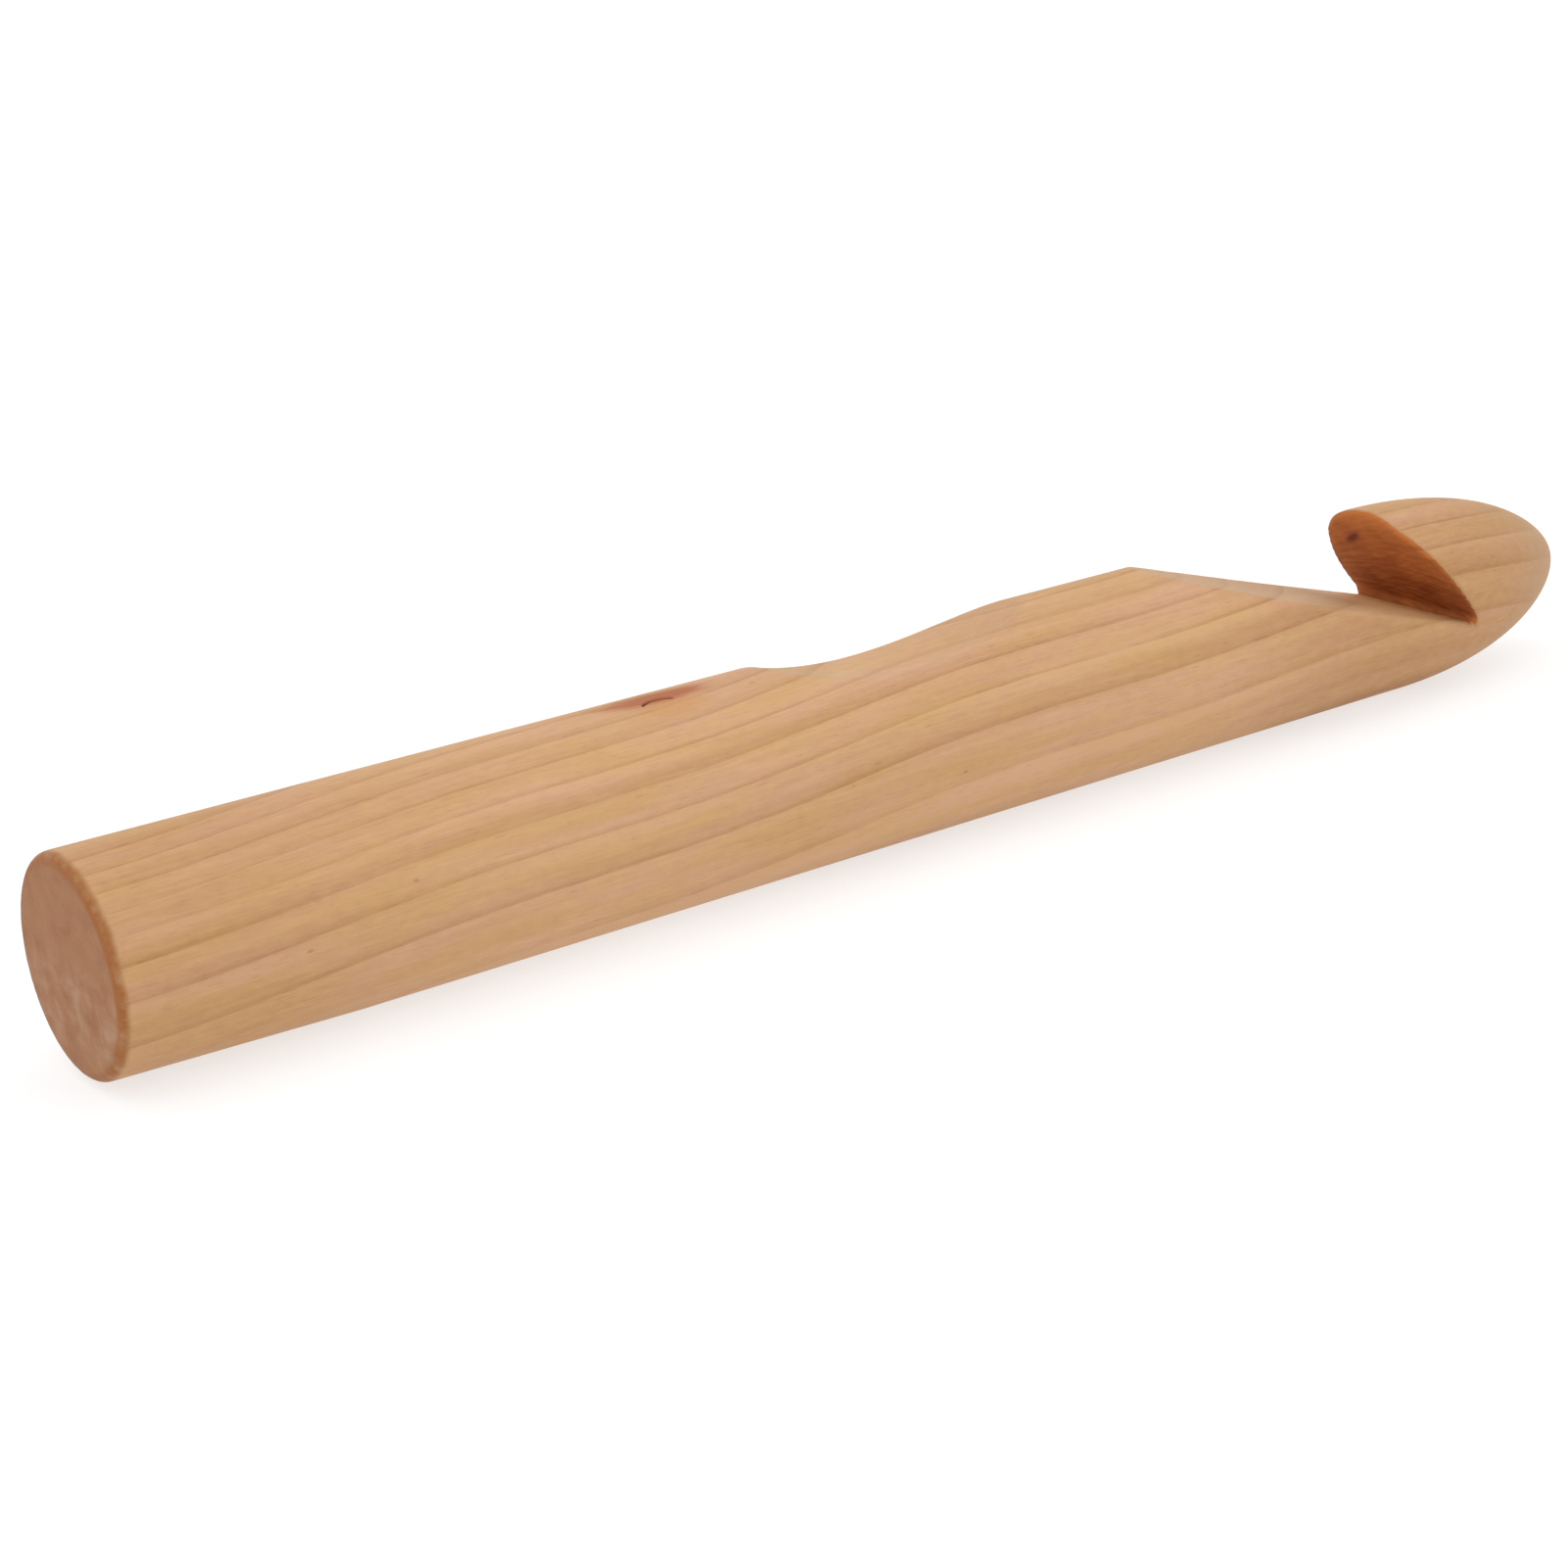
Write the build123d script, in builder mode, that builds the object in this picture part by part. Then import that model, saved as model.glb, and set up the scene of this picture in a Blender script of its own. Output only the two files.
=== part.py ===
"""Wooden crochet hook, carved in one piece from a round dowel.

Frame: +X runs from the flat butt to the rounded nose, +Z is up, and both cuts open upwards. The
origin lies under the middle of the hook, on the surface that the hook rests on. Millimetres.
"""
from build123d import *
from math import cos, isclose, radians, sin
import os

# Driving dimensions. Stations are measured from the butt, heights from the dowel's axis.
DIAMETER = 20.0
LENGTH = 8.9 * DIAMETER
RADIUS = DIAMETER / 2

# Grip: the plain round stretch behind the thumb rest, which a holder or a loop goes over
GRIP_END = 3.40 * DIAMETER

# Butt: a flat end with a rounded edge
BUTT_EDGE = 0.045 * DIAMETER

# Nose: one curve that leaves the shaft in line with it and crosses the axis squarely
NOSE_LENGTH = 1.37 * DIAMETER
NOSE_SHOULDER_PULL = 1.01 * DIAMETER
NOSE_TIP_PULL = 0.11 * DIAMETER

# Mouth: a long sloping throat, a short upright root face, and an undercut wall below the lip,
# all cut across a few degrees out of square
THROAT_START = 5.87 * DIAMETER
THROAT_HOLLOW = 0.02 * DIAMETER
ROOT_STATION = 7.87 * DIAMETER
ROOT_HEIGHT = -0.115 * DIAMETER
ROOT_FACE = 0.04 * DIAMETER
ROOT_CURVE = 0.05 * DIAMETER
LIP_STATION = 7.48 * DIAMETER
LIP_HEIGHT = 0.42 * DIAMETER
LIP_CURVE = 0.14 * DIAMETER
MOUTH_YAW = radians(4)

# Thumb rest: a shallow hollow, steeper where it starts, a few degrees round from the mouth
THUMB_START = 3.53 * DIAMETER
THUMB_END = 5.12 * DIAMETER
THUMB_THIRD = (THUMB_END - THUMB_START) / 3
THUMB_ENTRY_PULL = 0.21 * DIAMETER
THUMB_EXIT_PULL = 0.15 * DIAMETER
THUMB_ROLL = radians(5)

# Sanded edges
LIP_BREAK = 0.025 * DIAMETER
THROAT_BREAK = 0.05 * DIAMETER
THUMB_BREAK = 0.06 * DIAMETER

BUTT_X = -LENGTH / 2

# Sketch planes. The blank is drawn below its axis, so that its seam lies under the hook. The
# cutters are drawn beside the hook and reach right across it.
blank_plane = Plane(origin=(BUTT_X, 0, RADIUS), x_dir=(1, 0, 0), z_dir=(0, 1, 0))
mouth_plane = Plane(
    origin=(BUTT_X + ROOT_STATION, 0, RADIUS),
    x_dir=(cos(MOUTH_YAW), -sin(MOUTH_YAW), 0),
    z_dir=(-sin(MOUTH_YAW), -cos(MOUTH_YAW), 0),
)
thumb_plane = Plane(
    origin=(BUTT_X, 0, RADIUS),
    x_dir=(1, 0, 0),
    z_dir=(0, -cos(THUMB_ROLL), sin(THUMB_ROLL)),
)


def turned(face):
    """Whether a face belongs to the skin of the turned stick, and not to a cut."""
    on_shaft = face.geom_type == GeomType.CYLINDER and isclose(face.radius, RADIUS)
    return on_shaft or face.geom_type == GeomType.REVOLUTION


def rim(cut_faces, part):
    """The edges where the faces of a cut meet the skin of the stick."""
    skin_edges = part.faces().filter_by(turned).edges()
    return cut_faces.edges().filter_by(lambda edge: edge in skin_edges)


with BuildPart() as crochet_hook:
    # The turned blank
    with BuildSketch(blank_plane):
        with BuildLine():
            face = Line((0, 0), (0, RADIUS - BUTT_EDGE))
            edge = RadiusArc(face @ 1, (BUTT_EDGE, RADIUS), BUTT_EDGE)
            grip = Line(edge @ 1, (GRIP_END, RADIUS))
            # Straight as well, but drawn as a curve, so that the grip stays a face of its own
            worked = Bezier(grip @ 1, (ROOT_STATION / 2, RADIUS), (LENGTH - NOSE_LENGTH, RADIUS))
            nose = Bezier(
                worked @ 1,
                (worked @ 1) + Vector(NOSE_SHOULDER_PULL, 0),
                (LENGTH, NOSE_TIP_PULL),
                (LENGTH, 0),
            )
            Line(nose @ 1, face @ 0)
        make_face()
    revolve(axis=Axis((BUTT_X, 0, RADIUS), (1, 0, 0)))

    # The mouth
    with BuildSketch(mouth_plane.offset(-DIAMETER)):
        with BuildLine():
            crest = Vector(THROAT_START - ROOT_STATION, RADIUS)
            root = Vector(0, ROOT_HEIGHT)
            throat = SagittaArc(crest, root, -THROAT_HOLLOW)
            lead_in = Line(throat @ 0, (throat @ 0) - (throat % 0) * DIAMETER)
            wall = FilletPolyline(
                root,
                root + Vector(0, ROOT_FACE),
                (LIP_STATION - ROOT_STATION, LIP_HEIGHT),
                (LIP_STATION - ROOT_STATION, 2 * DIAMETER),
                radius=(ROOT_CURVE, LIP_CURVE),
            )
            Polyline(lead_in @ 1, (crest.X, 2 * DIAMETER), wall @ 1)
        make_face()
    extrude(amount=2 * DIAMETER, mode=Mode.SUBTRACT)

    # The thumb rest
    with BuildSketch(thumb_plane.offset(-DIAMETER)):
        with BuildLine():
            hollow = Bezier(
                (THUMB_START, RADIUS),
                (THUMB_START + THUMB_THIRD, RADIUS - THUMB_ENTRY_PULL),
                (THUMB_END - THUMB_THIRD, RADIUS - THUMB_EXIT_PULL),
                (THUMB_END, RADIUS),
            )
            lead_in = Line(hollow @ 0, (hollow @ 0) - (hollow % 0) * DIAMETER)
            lead_out = Line(hollow @ 1, (hollow @ 1) + (hollow % 1) * DIAMETER)
            Line(lead_in @ 1, lead_out @ 1)
        make_face()
    extrude(amount=2 * DIAMETER, mode=Mode.SUBTRACT)

    # The sanded edges of the thumb rest, of the throat, and of the lip and its wall
    thumb_face = crochet_hook.faces().filter_by(GeomType.EXTRUSION)
    fillet(rim(thumb_face, crochet_hook), THUMB_BREAK)

    throat_face = crochet_hook.faces().filter_by(GeomType.CYLINDER).sort_by(SortBy.AREA)[-2:-1]
    fillet(rim(throat_face, crochet_hook), THROAT_BREAK)

    head = crochet_hook.faces().filter_by_position(Axis.X, BUTT_X + THROAT_START + DIAMETER, LENGTH)
    wall_faces = head.filter_by(lambda face: face.is_planar or face.geom_type == GeomType.CYLINDER)
    fillet(rim(wall_faces.filter_by(turned, reverse=True), crochet_hook), LIP_BREAK)

print("volume", round(crochet_hook.part.volume), "mm3, valid", crochet_hook.part.is_valid)

os.makedirs("parts", exist_ok=True)
crochet_hook.part.label = "crochet_hook"
export_step(crochet_hook.part, "parts/crochet_hook.step")
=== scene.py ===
"""The look of a one-piece wooden crochet hook: its wood, a white table, soft light and the camera.

Objects are placed in metres, in the frame of the CAD model. The wood works in millimetres, with x
along the stick from its butt, and y and z across it from its axis.
"""
from math import cos, pi, radians, sin

import bmesh
import bpy
import numpy as np
from mathutils import Matrix, Vector


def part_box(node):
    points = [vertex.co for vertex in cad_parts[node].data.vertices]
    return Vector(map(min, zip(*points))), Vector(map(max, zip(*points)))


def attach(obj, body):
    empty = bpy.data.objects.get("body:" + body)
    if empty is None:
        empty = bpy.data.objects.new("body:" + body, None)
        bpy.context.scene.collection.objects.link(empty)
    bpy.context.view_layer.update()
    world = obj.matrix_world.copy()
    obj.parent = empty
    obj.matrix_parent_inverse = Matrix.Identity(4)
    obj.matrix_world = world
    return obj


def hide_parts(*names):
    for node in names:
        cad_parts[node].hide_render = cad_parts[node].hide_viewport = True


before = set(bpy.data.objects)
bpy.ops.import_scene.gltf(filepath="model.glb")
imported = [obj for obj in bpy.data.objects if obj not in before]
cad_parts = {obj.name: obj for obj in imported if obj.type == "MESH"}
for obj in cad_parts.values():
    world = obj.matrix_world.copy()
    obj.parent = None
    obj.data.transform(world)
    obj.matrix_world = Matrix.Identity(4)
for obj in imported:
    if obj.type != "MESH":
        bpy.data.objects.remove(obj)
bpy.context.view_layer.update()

# The stick, from the CAD model
NODE = "crochet_hook"
LOW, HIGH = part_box(NODE)
RADIUS = (HIGH.z - LOW.z) / 2
BUTT_CENTRE = Vector((LOW.x, 0, LOW.z + RADIUS))
MILLIMETRES = 1000
RADIUS_MM = RADIUS * MILLIMETRES
LENGTH_MM = (HIGH.x - LOW.x) * MILLIMETRES

# Its shape: stations along it from the butt, and heights from its axis. It is the CAD model's,
# but for a softer rim of the thumb rest and a little wear below at the butt.
BUTT_EDGE = 0.9
BUTT_WEAR = 0.45
WEAR_LENGTH = 24.0
NOSE = ((150.6, 10.0), (170.8, 10.0), (178.0, 2.2), (178.0, 0.0))
THROAT = ((117.4, 10.0), (157.4, -2.3))
THROAT_HOLLOW = 0.4
WALL = ((157.4, -2.3), (157.4, -1.5), (149.6, 8.4), (149.6, 40.0))
ROOT_CURVE = 1.0
LIP_CURVE = 2.8
MOUTH_YAW = radians(4)
THUMB = ((70.6, 10.0), (81.2, 5.8), (91.8, 7.0), (102.4, 10.0))
THUMB_ROLL = radians(5)
LIP_BREAK = 0.5
THROAT_BREAK = 1.0
THUMB_BREAK = 4.0

# What the tools and wear left on it
LIP_WAVER = 0.05
RASP_DEPTH = 0.02
RASP_PITCHES = (0.85, 0.5)
CRACK_DEPTH = 0.5

# Its mesh: the voxel in metres, rounds of smoothing, points measured at a time, the distance that
# counts as on an outline, and the cuts that divide the edges on the wall and round the crack
VOXEL = 0.00042
SMOOTHING_ROUNDS = 3
CHUNK = 2048
TOUCHING = 0.0001
WALL_CUTS = 1
CRACK_CUTS = 5

# Camera: it looks down on the stick from the butt's side, slightly rolled
CAMERA_AIM = Vector((-0.0121, 0.0068, 0.0057))
CAMERA_DISTANCE = 0.3031
CAMERA_AZIMUTH = radians(35.0)
CAMERA_ELEVATION = radians(17.8)
CAMERA_ROLL = radians(-4.05)
CAMERA_LENS = 71.9
CAMERA_CLIP_START = 0.01

# Light
SKY_STRENGTH = 1.0
KEY_POWER = 23.0
KEY_SIZE = 4.0
KEY_PLACE = Vector((-0.3, -0.6, 2.0))
TABLE_SIZE = 8.0
TABLE_COLOUR = (0.35, 0.35, 0.35, 1)
TABLE_ROUGHNESS = 0.8
TABLE_SPECULAR = 0.1
TABLE_GLOW = 0.66
WHITE = (1, 1, 1, 1)

# Growth rings: nearly flat layers about a far pith, each wider than the last, that drift along x.
# BEND and RIPPLE are waves of the layers: height, wavelength and phase.
PITH_DISTANCE = 100.0
PITH_Y = 31.9
PITH_Z = 94.8
GRAIN_SLOPE = 0.019
BEND = (2.0, 300.0, -1.236)
RIPPLE = (0.35, 56.2, -1.978)
RING_COUNT = 6.081
RING_RATE = 0.060
FIRST_RING = 5.39
RING_WANDER = 0.12

# Wood colours, as linear reflectance
EARLY_YELLOW = (0.562, 0.338, 0.157, 1)
EARLY_PINK = (0.585, 0.345, 0.208, 1)
LATE_WOOD = (0.335, 0.153, 0.056, 1)
END_GRAIN = (0.333, 0.152, 0.066, 1)
END_DARK = (0.265, 0.103, 0.040, 1)
END_PALE = (0.400, 0.246, 0.155, 1)
BURNISHED = (0.298, 0.107, 0.030, 1)
CUT_TINT = (0.404, 0.250, 0.128, 1)
# The wall's two colours hold its darker end grain and also painted shade: the undercut's shadow
# and light bounced from wood to wood
WALL_WOOD_AND_SHADE = (0.470, 0.154, 0.042, 1)
WALL_DARK_AND_SHADE = (0.163, 0.033, 0.010, 1)
STAIN = (0.335, 0.084, 0.033, 1)
# Dark knot wood, also painted into the crack as the shade inside it
KNOT_AND_CRACK_SHADE = (0.048, 0.012, 0.008, 1)
# Painted light: pale wood for the throat floor at the wall's foot, to offset the wall's shadow
FOOT_PAINTED_LIGHT = (0.800, 0.480, 0.220, 1)
AMBER = (0.52, 0.245, 0.080, 1)

# Sizes of the markings in the wood, along the grain and across it
FIBRE = (5.0, 0.22)
PORE = (1.6, 0.12)
MOTTLE = (1.6, 0.9)
FLECK_CELL = (9.0, 5.0)
FLECK_EDGE = (0.045, 0.02)

# Its surface, with the height of the bumps in metres
WOOD_ROUGHNESS = 0.58
WOOD_SPECULAR = 0.10
BUMP_STRENGTH = 0.25
BUMP_HEIGHT = 0.00002

# Faults in the wood, and how far each one reaches along x, y and z: the crack and stain of a pin
# knot on top, amber below them, and a knot that leans across the mouth's wall, in a halo
CRACK = Vector((58.0, -0.76, 9.9))
CRACK_HALF_LENGTH = 1.75
CRACK_RISE = 0.20
CRACK_WIDTH = 0.24
STAIN_PLACE = Vector((58.2, -0.1, 10.0))
STAIN_REACH = (17.0, 3.2, 3.0)
STAIN_CORE = (8.0, 2.4, 3.0)
AMBER_PLACE = Vector((58.8, -2.6, 9.6))
AMBER_REACH = (6.0, 2.2, 3.0)
WALL_KNOT = Vector((151.5, 3.4, 6.2))
WALL_KNOT_REACH = (3.0, 1.4, 1.7)
WALL_KNOT_LEAN = 1.6
HALO_REACH = (4.0, 3.4, 3.0)

# Where the markings lie: the undercut wall and the foot of the throat below it, with painted
# light;
# the head and the stretch at the butt, with painted shade; and the butt's rounded edge
WALL_START = 140.0
FOOT_START = 146.0
FOOT_FULL = 155.0
FOOT_END = 158.0
HEAD_START = 116.0
HEAD_FULL = 142.0
HEAD_FADE = 163.0
HEAD_END = 180.0
BUTT_TINT_END = 50.0
EDGE_REACH = 1.0


def curve(a, b, c, d, count=96):
    """Points along a cubic curve."""
    t = np.linspace(0, 1, count)[:, None]
    a, b, c, d = [np.array(point) for point in (a, b, c, d)]
    return (1 - t) ** 3 * a + 3 * t * (1 - t) ** 2 * b + 3 * t ** 2 * (1 - t) * c + t ** 3 * d


def rounded(before, corner, after, radius, count=24):
    """Points along the round of a corner."""
    before, corner, after = [np.array(point) for point in (before, corner, after)]
    back = (before - corner) / np.linalg.norm(before - corner)
    ahead = (after - corner) / np.linalg.norm(after - corner)
    half = np.arccos(back @ ahead) / 2
    centre = corner + (back + ahead) / np.linalg.norm(back + ahead) * radius / sin(half)
    start = corner + back * radius / np.tan(half) - centre
    end = corner + ahead * radius / np.tan(half) - centre
    t = np.linspace(0, 1, count)[:, None]
    sweep = pi - 2 * half
    return centre + (np.sin((1 - t) * sweep) * start + np.sin(t * sweep) * end) / sin(sweep)


def beyond(end, inner):
    """A point a stick's width past the end of a line, straight on."""
    return end + (end - inner) * 2 * RADIUS_MM / np.linalg.norm(end - inner)


def blank_outline():
    """The turned stick's half profile, carried on below its axis."""
    edge = rounded((0, 0), (0, RADIUS_MM), (LENGTH_MM, RADIUS_MM), BUTT_EDGE)
    below = [(LENGTH_MM, -RADIUS_MM / 2), (0, -RADIUS_MM / 2)]
    return np.vstack((edge, curve(*NOSE, count=160), below))


def mouth_outline():
    """What is cut away for the mouth: a hollowed throat, a root face, and the undercut wall."""
    crest, root = [np.array(point) for point in THROAT]
    t = np.linspace(0, 1, 48)[:, None]
    across = np.array((root[1] - crest[1], crest[0] - root[0]))
    hollow = 4 * THROAT_HOLLOW * t * (1 - t) * across / np.linalg.norm(across)
    throat = crest + t * (root - crest) + hollow
    lead_in = beyond(throat[0], throat[1])
    foot = rounded(*WALL[:3], ROOT_CURVE)
    lip = rounded(*WALL[1:], LIP_CURVE)
    return np.vstack(([lead_in], throat, foot, lip, [WALL[3], (crest[0], WALL[3][1])]))


def thumb_outline():
    """What is cut away for the thumb rest."""
    hollow = curve(*THUMB)
    lead_in = beyond(hollow[0], hollow[1])
    lead_out = beyond(hollow[-1], hollow[-2])
    return np.vstack(([lead_in], hollow, [lead_out]))


def distance(points, outline):
    """How far 2-D points are outside a closed outline, below 0 inside it, and which way is out."""
    start_x, start_y = outline.T
    run_x, run_y = (np.roll(outline, -1, axis=0) - outline).T
    square = run_x ** 2 + run_y ** 2
    turn = np.sign((start_x * run_y - start_y * run_x).sum())
    normals = turn * np.column_stack((run_y, -run_x)) / np.sqrt(square)[:, None]
    rise = np.where(run_y == 0, 1, run_y)
    reach = np.empty(len(points))
    slope = np.empty((len(points), 2))
    for first in range(0, len(points), CHUNK):
        chunk = slice(first, first + CHUNK)
        x = points[chunk, :1] - start_x
        y = points[chunk, 1:] - start_y
        share = np.clip((x * run_x + y * run_y) / square, 0, 1)
        gap_x = x - share * run_x
        gap_y = y - share * run_y
        gap = gap_x ** 2 + gap_y ** 2
        nearest = gap.argmin(1)
        row = np.arange(len(nearest))
        crossed = ((y >= 0) != (y >= run_y)) & (x < y / rise * run_x)
        sign = np.where(crossed.sum(1) % 2, -1.0, 1.0)
        near = np.sqrt(gap[row, nearest])
        way = np.column_stack((gap_x[row, nearest], gap_y[row, nearest]))
        way *= (sign / np.maximum(near, TOUCHING))[:, None]
        reach[chunk] = sign * near
        slope[chunk] = np.where(near[:, None] < TOUCHING, normals[nearest], way)
    return reach, slope


def measured(across, up, outline):
    """The same, for points given as two lists of coordinates. The way out is two lists as well."""
    reach, slope = distance(np.column_stack((across, up)), outline)
    return reach, slope.T


def meet(first, second, radius):
    """The space that two solids share, its edge rounded where their skins meet."""
    (a, a_slope), (b, b_slope) = first, second
    cosine = (a_slope * b_slope).sum(1)
    spread = np.maximum(1 - cosine ** 2, 1e-9)
    along_a = (a + radius - cosine * (b + radius)) / spread
    along_b = (b + radius - cosine * (a + radius)) / spread
    arm = along_a[:, None] * a_slope + along_b[:, None] * b_slope
    length = np.maximum(np.linalg.norm(arm, axis=1), 1e-9)
    at_edge = (along_a > 0) & (along_b > 0)
    reach = np.where(at_edge, length - radius, np.maximum(a, b))
    flat = np.where((a > b)[:, None], a_slope, b_slope)
    return reach, np.where(at_edge[:, None], arm / length[:, None], flat)


def solid(points):
    """How far points are outside the hook, below 0 inside it, and which way is out."""
    x, y, z = points.T
    from_axis = np.maximum(np.hypot(y, z), 1e-9)
    worn = BUTT_WEAR * np.clip(1 - x / WEAR_LENGTH, 0, 1) * (1 - z / from_axis) / 2
    reach, (along, out) = measured(x, from_axis + worn, BLANK_OUTLINE)
    blank = reach, np.column_stack((along, out * y / from_axis, out * z / from_axis))

    side, up = sin(THUMB_ROLL), cos(THUMB_ROLL)
    reach, (along, out) = measured(x, y * side + z * up, THUMB_OUTLINE)
    thumb = -reach, -np.column_stack((along, out * side, out * up))

    waver = LIP_WAVER * (np.sin(1.1 * y + 0.5) + 0.5 * np.sin(2.7 * y + 1.3))
    waver = waver * np.clip((z - 1) / 5, 0, 1)
    side, ahead = sin(MOUTH_YAW), cos(MOUTH_YAW)
    station = WALL[0][0] + (x - WALL[0][0]) * ahead - y * side + waver
    reach, (along, out) = measured(station, z, MOUTH_OUTLINE)
    mouth = -reach, -np.column_stack((along * ahead, -along * side, out))

    mouth_break = np.interp(mouth[1][:, 2], (0.2, 0.8), (LIP_BREAK, THROAT_BREAK))
    return meet(meet(blank, thumb, THUMB_BREAK), mouth, mouth_break)


def settle(points, rounds):
    """The points, moved straight onto the hook's surface, and which way is out there."""
    for _ in range(rounds):
        reach, slope = solid(points)
        points = points - reach[:, None] * slope
    return points, slope


def marks(points, slope):
    """How deep the rasp's marks on the mouth's wall and the crack on top go in at each point."""
    x, y, z = points.T
    depth = np.hypot(y - PITH_Y, z - PITH_Z)
    coarse, fine = [2 * pi * depth / pitch for pitch in RASP_PITCHES]
    rasp = np.sin(coarse + np.sin(0.9 * y)) + 0.6 * np.sin(fine + 0.4 * y)
    on_wall = np.clip((-slope[:, 0] - 0.4) / 0.3, 0, 1) * (x > WALL_START)
    from_middle = x - CRACK.x
    across = (y - CRACK.y + CRACK_RISE * from_middle ** 2) / CRACK_WIDTH
    along = from_middle / CRACK_HALF_LENGTH
    crack = np.clip(1 - across ** 2, 0, 1) * np.clip(1 - along ** 4, 0, 1) * (z > 0)
    return RASP_DEPTH * rasp * on_wall + CRACK_DEPTH * crack


def divided(mesh, inside, cuts):
    """Divide the edges whose middles are inside a region."""
    shape = bmesh.new()
    shape.from_mesh(mesh)
    edges = []
    for edge in shape.edges:
        middle = (edge.verts[0].co + edge.verts[1].co) / 2
        if inside((middle - BUTT_CENTRE) * MILLIMETRES):
            edges.append(edge)
    bmesh.ops.subdivide_edges(shape, edges=edges, cuts=cuts, use_grid_fill=True)
    shape.to_mesh(mesh)
    shape.free()


def near_crack(place):
    """Whether a place is on top of the stick, round the crack."""
    return abs(place.x - CRACK.x) < 2.6 and abs(place.y - CRACK.y) < 1.5 and place.z > 8


def near_wall(place):
    """Whether a place is on the mouth's wall, the lip or the foot of the throat."""
    below_throat = max(-3, -1 - (place.x - WALL[0][0]) / 3)
    return 148.5 < place.x < 158.5 and place.z > below_throat


def carved_hook(node):
    """The hook as an even, fine mesh: the CAD solid remeshed, settled on the smooth surface."""
    rough = bpy.data.objects.new("rough_hook", node.data.copy())
    bpy.context.scene.collection.objects.link(rough)
    remesh = rough.modifiers.new("voxels", "REMESH")
    remesh.mode = "VOXEL"
    remesh.voxel_size = VOXEL
    graph = bpy.context.evaluated_depsgraph_get()
    mesh = bpy.data.meshes.new_from_object(rough.evaluated_get(graph))
    bpy.data.objects.remove(rough)
    mesh.materials.clear()

    def read():
        places = np.empty(len(mesh.vertices) * 3)
        mesh.vertices.foreach_get("co", places)
        return (places.reshape(-1, 3) - np.array(BUTT_CENTRE)) * MILLIMETRES

    def write(points):
        places = points / MILLIMETRES + np.array(BUTT_CENTRE)
        mesh.vertices.foreach_set("co", places.ravel())
        mesh.update()

    edges = np.empty(len(mesh.edges) * 2, dtype=np.int32)
    mesh.edges.foreach_get("vertices", edges)
    near, far = edges.reshape(-1, 2).T
    points, _ = settle(read(), 2)
    for _ in range(SMOOTHING_ROUNDS):
        total = np.zeros_like(points)
        np.add.at(total, near, points[far])
        np.add.at(total, far, points[near])
        count = np.bincount(edges, minlength=len(points))[:, None]
        points, _ = settle((points + total / count) / 2, 1)
    write(points)

    divided(mesh, near_wall, WALL_CUTS)
    divided(mesh, near_crack, CRACK_CUTS)
    points, slope = settle(read(), 2)
    write(points - marks(points, slope)[:, None] * slope)
    mesh.shade_smooth()

    piece = bpy.data.objects.new("carved_hook", mesh)
    bpy.context.scene.collection.objects.link(piece)
    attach(piece, "root")
    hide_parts(NODE)
    return piece


class Signal:
    """A number that varies over a surface. Arithmetic on it adds Math nodes to the material."""

    def __init__(self, nodes, socket):
        self.nodes = nodes
        self.socket = socket

    def __add__(self, other):
        return self.nodes.math("ADD", self, other)

    def __radd__(self, other):
        return self.nodes.math("ADD", other, self)

    def __sub__(self, other):
        return self.nodes.math("SUBTRACT", self, other)

    def __rsub__(self, other):
        return self.nodes.math("SUBTRACT", other, self)

    def __mul__(self, other):
        return self.nodes.math("MULTIPLY", self, other)

    def __rmul__(self, other):
        return self.nodes.math("MULTIPLY", other, self)

    def __truediv__(self, other):
        return self.nodes.math("DIVIDE", self, other)

    def __abs__(self):
        return self.nodes.math("ABSOLUTE", self)


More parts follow.
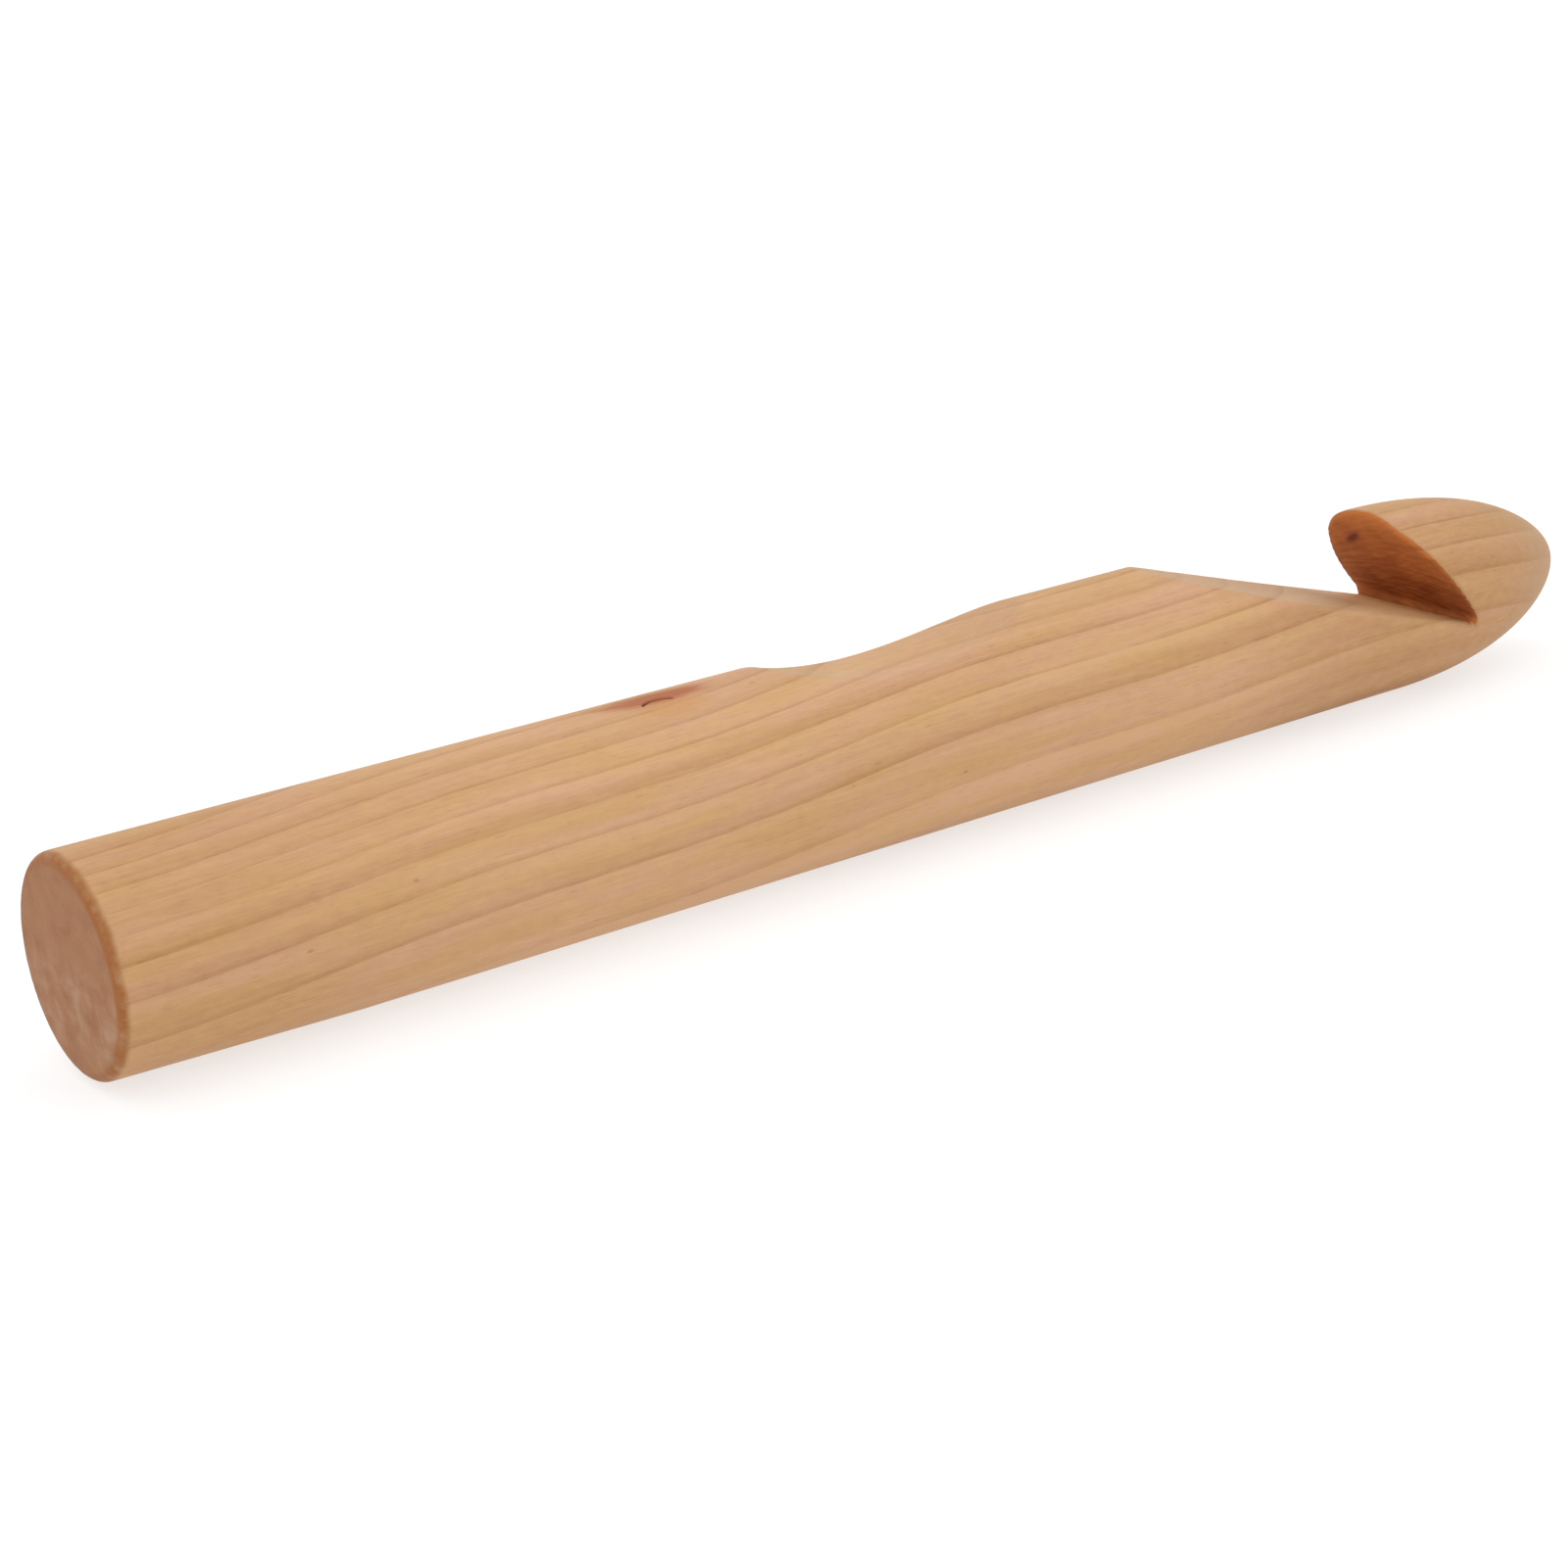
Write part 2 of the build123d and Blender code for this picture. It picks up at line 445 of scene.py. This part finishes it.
class Nodes:
    """The nodes of one material."""

    def __init__(self, name):
        self.material = bpy.data.materials.new(name)
        self.material.use_nodes = True
        self.tree = self.material.node_tree
        self.shader = self.tree.nodes["Principled BSDF"]

    def feed(self, target, value):
        """Give an input a signal, the output of a node, or a plain value."""
        if isinstance(value, Signal):
            value = value.socket
        if isinstance(value, bpy.types.NodeSocket):
            self.tree.links.new(value, target)
        else:
            target.default_value = value

    def add(self, kind, inputs, **settings):
        """A new shader node with its settings, and its inputs fed."""
        node = self.tree.nodes.new("ShaderNode" + kind)
        for name, value in settings.items():
            setattr(node, name, value)
        for key, value in inputs.items():
            self.feed(node.inputs[key], value)
        return node

    def math(self, operation, *values):
        node = self.add("Math", dict(enumerate(values)), operation=operation)
        return Signal(self, node.outputs[0])

    def separate(self, vector):
        """The x, y and z of a vector."""
        node = self.add("SeparateXYZ", {0: vector})
        return [Signal(self, output) for output in node.outputs]

    def length(self, *sides):
        """The length of a vector, from its parts."""
        total = sides[0] * sides[0]
        for side in sides[1:]:
            total = total + side * side
        return self.math("SQRT", total)

    def step(self, value, start, end):
        """A smooth step from 0 at start to 1 at end, which may be the lower of the two."""
        inputs = {"Value": value, "From Min": start, "From Max": end}
        node = self.add("MapRange", inputs, interpolation_type="SMOOTHSTEP")
        return Signal(self, node.outputs["Result"])

    def noise(self, x, y, z, detail=2.0, roughness=0.5):
        """Noise about 0, with blobs about 1 across in the given coordinates."""
        place = self.add("CombineXYZ", {0: x, 1: y, 2: z})
        inputs = {"Vector": place.outputs[0], "Scale": 1.0}
        inputs.update({"Detail": detail, "Roughness": roughness})
        node = self.add("TexNoise", inputs, noise_dimensions="3D")
        return (Signal(self, node.outputs[0]) - 0.5) * 2

    def grained(self, x, y, z, size, **settings):
        """Noise drawn out along the grain: its size along x, and its size across."""
        along, across = size
        return self.noise(x / along, y / across, z / across, **settings)

    def blend(self, amount, base, other):
        """Colour base, with a share of colour other put over it."""
        inputs = {"Factor": amount, 6: base, 7: other}
        node = self.add("Mix", inputs, data_type="RGBA", blend_type="MIX")
        return node.outputs[2]


def growth(nodes, x, y, z):
    """The depth of a point in the layers of growth, and its year, which rises by 1 a ring."""
    drift = GRAIN_SLOPE * x
    for height, pitch, phase in (BEND, RIPPLE):
        drift = drift + height * nodes.math("SINE", x * (2 * pi / pitch) + phase)
    wander = RING_WANDER * nodes.grained(x, y, z, (14, 3))
    depth = nodes.length(y - PITH_Y, z - PITH_Z) - PITH_DISTANCE + drift + wander
    year = FIRST_RING + RING_COUNT * (1 - nodes.math("EXPONENT", -RING_RATE * depth))
    return depth, year


def rings(nodes, x, year, line):
    """The tone of a year: a pale start, a browner end, and a thin dark line that closes it."""
    across = nodes.math("FRACT", year)
    strength = 0.7 + 0.9 * nodes.noise(0.0, year * 0.7, 4.0, detail=0.0)
    late = 0.21 * strength * nodes.step(across, 0.15, 0.95) * nodes.step(across, 1.02, 0.96)
    at_butt = nodes.step(x, BUTT_TINT_END, 0.2 * BUTT_TINT_END)
    uneven = 0.85 + 0.9 * nodes.noise(x / 20, year * 0.9, 4.0) - 0.4 * at_butt
    fine = nodes.noise(x / 30, year * 5, 0.0, detail=3.0)
    return 0.10 + late + 0.23 * line * uneven + 0.16 * fine


def spot(nodes, x, y, z, centre, reach):
    """1 at a point in the wood, and 0 beyond its reach along each axis."""
    offsets = zip((x, y, z), centre, reach)
    distance = nodes.length(*[(value - middle) / size for value, middle, size in offsets])
    return nodes.step(distance, 1.0, 0.0)


def butt_face(nodes, colour, x, y, z, depth, facing_x):
    """End grain at the butt, blotched and paler below, with a burnished brown edge."""
    along_ring = y * (PITH_Z / PITH_DISTANCE) - z * (PITH_Y / PITH_DISTANCE)
    blotch = nodes.noise(y / 2.6, z / 2.2, 1.0, detail=2.5)
    ray = nodes.noise(along_ring / 0.22, depth / 3.0, 2.0, detail=2.0)
    speck = nodes.noise(y / 0.16, z / 0.16, 3.0, detail=1.0)
    dark = nodes.step(0.5 * blotch + 0.3 * ray + 0.3 * speck, -0.25, 0.5)
    end = nodes.blend(dark, END_GRAIN, END_DARK)
    low = nodes.step(z, 1.5, -2.0) * nodes.step(z, -8.5, -5.0)
    end = nodes.blend(0.75 * low * nodes.step(blotch, 0.25, -0.6), end, END_PALE)
    at_face = nodes.step(facing_x, -0.75, -0.97) * nodes.step(x, EDGE_REACH, 0.5 * EDGE_REACH)
    colour = nodes.blend(at_face, colour, end)
    from_axis = nodes.length(y, z)
    wavering = 0.2 * nodes.grained(x, y, z, (2, 2), detail=3.0)
    at_edge = nodes.step(x + wavering, EDGE_REACH, 0.35 * EDGE_REACH)
    at_edge = at_edge * nodes.step(from_axis + wavering, RADIUS_MM - 1.5, RADIUS_MM - 0.8)
    rubbed = nodes.grained(x, y, z, (1.5, 0.9), detail=3.0)
    return nodes.blend((0.78 + 0.6 * rubbed) * at_edge, colour, BURNISHED)


def mouth_wall(nodes, colour, x, y, z, facing_x):
    """The undercut wall: dark end grain with rasp marks and a knot, over painted shade, darkest in
    its root.

    The throat floor at its foot is painted paler: painted light against the shadow that the wall
    casts.
    """
    fan = (z - 2 + 0.012 * y * y) / (1.5 - 0.06 * y)
    scratch = nodes.noise(x / 6, fan / 0.26, y / 6, detail=4.0, roughness=0.65)
    patch = nodes.grained(x, y, z, (2.5, 2.5))
    shade = nodes.step(1.1 * scratch + 0.6 * patch, -0.6, 0.75)
    # Painted shade: the wall is darkest in its root and lighter towards the lip
    root = nodes.step(z, 4.5, 0.5) * nodes.step(z, -3.2, -1.0)
    upper = nodes.step(z, 2.5, 8.5)
    wall = nodes.blend(0.62 * shade + 0.25 * root - 0.27 * upper, WALL_WOOD_AND_SHADE, WALL_DARK_AND_SHADE)
    ragged = 0.25 * nodes.grained(x, y, z, (1, 0.7), detail=3.0)
    leaning = y + WALL_KNOT_LEAN * (z - WALL_KNOT.z)
    knot = spot(nodes, x, leaning, z, WALL_KNOT, WALL_KNOT_REACH)
    halo = spot(nodes, x, y, z, WALL_KNOT, HALO_REACH)
    wall = nodes.blend(0.4 * halo, wall, STAIN)
    wall = nodes.blend(0.65 * nodes.step(knot + ragged, 0.1, 0.9), wall, KNOT_AND_CRACK_SHADE)
    within = nodes.step(nodes.length(y, z), RADIUS_MM - 0.6, RADIUS_MM - 1.0)
    at_root = within * nodes.step(facing_x, 0.15, -0.15) * nodes.step(z, 0.0, -1.0)
    at_wall = nodes.math("MAXIMUM", at_root, nodes.step(facing_x, -0.42, -0.72))
    at_wall = at_wall * nodes.step(x, WALL_START, WALL_START + 1)
    # Painted light: the throat floor at the wall's foot is painted paler, against the wall's
    # shadow
    foot = nodes.math("MAXIMUM", within, 0.8 * nodes.step(facing_x, 0.13, 0.24))
    foot = foot * nodes.step(x, FOOT_START, FOOT_FULL) * nodes.step(x, FOOT_END + 0.4, FOOT_END)
    foot = foot * nodes.step(z, 1.5, 0.0) * nodes.step(y, -9.0, -4.0)
    colour = nodes.blend(0.9 * foot, colour, FOOT_PAINTED_LIGHT)
    return nodes.blend(at_wall, colour, wall), at_wall


def pin_knot(nodes, colour, x, y, z):
    """A red-brown stain on top of the stick, amber below it, and in it a small arched crack."""
    ragged = 0.45 * nodes.grained(x, y, z, (5, 1.2), detail=3.0)
    ragged = ragged + 0.45 * nodes.grained(x, y, z, (3, 0.3))
    below = spot(nodes, x, y, z, AMBER_PLACE, AMBER_REACH)
    amber = nodes.step(below + 0.8 * ragged * below, 0.0, 0.8)
    colour = nodes.blend(0.45 * amber, colour, AMBER)
    wide = spot(nodes, x, y, z, STAIN_PLACE, STAIN_REACH)
    close = spot(nodes, x, y, z, STAIN_PLACE, STAIN_CORE)
    stain = nodes.step(0.40 * wide + 0.95 * close + ragged * wide, 0.05, 1.0)
    colour = nodes.blend(0.8 * stain, colour, STAIN)
    # The crack is painted near black: dark knot wood, and painted shade inside its groove
    from_middle = x - CRACK.x
    centre_line = CRACK.y - CRACK_RISE * from_middle * from_middle
    crack = nodes.step(abs(y - centre_line), CRACK_WIDTH, 0.5 * CRACK_WIDTH)
    crack = crack * nodes.step(abs(from_middle), CRACK_HALF_LENGTH, 0.85 * CRACK_HALF_LENGTH)
    crack = crack * nodes.step(z, 9.0, 9.3)
    return nodes.blend(crack, colour, KNOT_AND_CRACK_SHADE), crack


def flecks(nodes, colour, x, y, z):
    """A few tiny dark bark flecks."""
    along, across = FLECK_CELL
    place = nodes.add("CombineXYZ", {0: x / along, 1: y / across, 2: z / across})
    cells = nodes.add("TexVoronoi", {"Vector": place.outputs[0], "Scale": 1.0}, feature="F1")
    near = Signal(nodes, cells.outputs["Distance"])
    return nodes.blend(0.35 * nodes.step(near, *FLECK_EDGE), colour, STAIN)


def wood():
    """Sanded alder or cherry: rings, fibres, a pin knot, the tints of the cuts and ends, and
    painted shade and light.
    """
    nodes = Nodes("satin_wood")
    coordinates = nodes.add("TexCoord", {})
    place = nodes.add(
        "VectorMath", {0: coordinates.outputs["Object"], 1: BUTT_CENTRE}, operation="SUBTRACT"
    )
    place = nodes.add("VectorMath", {0: place.outputs[0], 3: MILLIMETRES}, operation="SCALE")
    x, y, z = nodes.separate(place.outputs[0])
    facing_x = nodes.separate(coordinates.outputs["Normal"])[0]
    depth, year = growth(nodes, x, y, z)
    across = nodes.math("FRACT", year)
    line = nodes.step(across, 0.80, 0.97) * nodes.step(across, 1.01, 0.965)

    # Fibres and pores: short streaks along the grain
    fibre = nodes.grained(x, y, z, FIBRE, detail=3.0, roughness=0.6)
    pore = nodes.step(nodes.grained(x, y, z, PORE, detail=0.0), 0.42, 0.62)
    mottle = nodes.grained(x, y, z, MOTTLE, detail=3.0, roughness=0.6)
    band = nodes.noise(x / 60, depth / 2.8, 6.0, detail=1.0)
    tone = rings(nodes, x, year, line) + 0.30 * band + 0.20 * fibre + 0.20 * pore + 0.20 * mottle
    # Painted shade: the head and the stretch at the butt are darkened
    head_shade = nodes.step(x, HEAD_START, HEAD_FULL) * nodes.step(x, HEAD_END, HEAD_FADE)
    tone = tone + 0.20 * nodes.step(x, BUTT_TINT_END, 0.1 * BUTT_TINT_END) + 0.27 * head_shade

    hue = nodes.noise(x / 18, depth / 2.2, y / 8, detail=3.0) + 0.35 * mottle
    hue = nodes.step(hue, -0.40, 0.45)
    colour = nodes.blend(hue, EARLY_YELLOW, EARLY_PINK)
    colour = nodes.blend(tone, colour, LATE_WOOD)
    run_out = nodes.step(abs(facing_x), 0.05, 0.5)
    colour = nodes.blend(0.7 * run_out, colour, CUT_TINT)
    colour, crack = pin_knot(nodes, colour, x, y, z)
    colour = flecks(nodes, colour, x, y, z)
    colour = butt_face(nodes, colour, x, y, z, depth, facing_x)
    colour, rasped = mouth_wall(nodes, colour, x, y, z, facing_x)

    nodes.feed(nodes.shader.inputs["Base Color"], colour)
    roughness = WOOD_ROUGHNESS + 0.10 * fibre + 0.06 * mottle - 0.08 * run_out + 0.35 * rasped
    nodes.feed(nodes.shader.inputs["Roughness"], roughness)
    relief = 0.4 * fibre - 0.6 * pore - 0.8 * line - 6 * crack
    heights = {"Strength": BUMP_STRENGTH, "Distance": BUMP_HEIGHT, "Height": relief}
    bump = nodes.add("Bump", heights)
    nodes.feed(nodes.shader.inputs["Normal"], bump.outputs[0])
    nodes.shader.inputs["Specular IOR Level"].default_value = WOOD_SPECULAR
    return nodes.material


def table():
    """A white acrylic table, which glows a little."""
    material = bpy.data.materials.new("white_acrylic")
    material.use_nodes = True
    shader = material.node_tree.nodes["Principled BSDF"]
    shader.inputs["Base Color"].default_value = TABLE_COLOUR
    shader.inputs["Roughness"].default_value = TABLE_ROUGHNESS
    shader.inputs["Specular IOR Level"].default_value = TABLE_SPECULAR
    shader.inputs["Emission Color"].default_value = WHITE
    shader.inputs["Emission Strength"].default_value = TABLE_GLOW
    bpy.ops.mesh.primitive_plane_add(size=TABLE_SIZE, location=(0, 0, LOW.z))
    top = bpy.context.object
    top.name = "table"
    top.data.materials.append(material)


def studio():
    """A white sky all round, and a large soft light overhead."""
    sky = bpy.data.worlds.new("white_studio")
    sky.use_nodes = True
    background = sky.node_tree.nodes["Background"]
    background.inputs["Color"].default_value = WHITE
    background.inputs["Strength"].default_value = SKY_STRENGTH
    bpy.context.scene.world = sky

    light = bpy.data.lights.new("key_light", "AREA")
    light.energy = KEY_POWER
    light.size = KEY_SIZE
    lamp = bpy.data.objects.new("key_light", light)
    lamp.location = KEY_PLACE
    lamp.rotation_euler = (-KEY_PLACE).to_track_quat("-Z", "Y").to_euler()
    bpy.context.scene.collection.objects.link(lamp)
    bpy.context.scene.view_settings.view_transform = "Standard"


def camera():
    """The camera turns about the aim: azimuth from +Y towards +X, then elevation, then roll."""
    lens = bpy.data.cameras.new("camera")
    lens.lens = CAMERA_LENS
    lens.clip_start = CAMERA_CLIP_START
    holder = bpy.data.objects.new("camera", lens)
    turn = Matrix.Rotation(-CAMERA_AZIMUTH, 4, "Z")
    tilt = Matrix.Rotation(radians(90) - CAMERA_ELEVATION, 4, "X")
    roll = Matrix.Rotation(CAMERA_ROLL, 4, "Z")
    back = Matrix.Translation((0, 0, CAMERA_DISTANCE))
    holder.matrix_world = Matrix.Translation(CAMERA_AIM) @ turn @ tilt @ roll @ back
    bpy.context.scene.collection.objects.link(holder)
    bpy.context.scene.camera = holder


BLANK_OUTLINE = blank_outline()
MOUTH_OUTLINE = mouth_outline()
THUMB_OUTLINE = thumb_outline()
hook = carved_hook(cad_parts[NODE])
hook.data.materials.append(wood())

table()
studio()
camera()
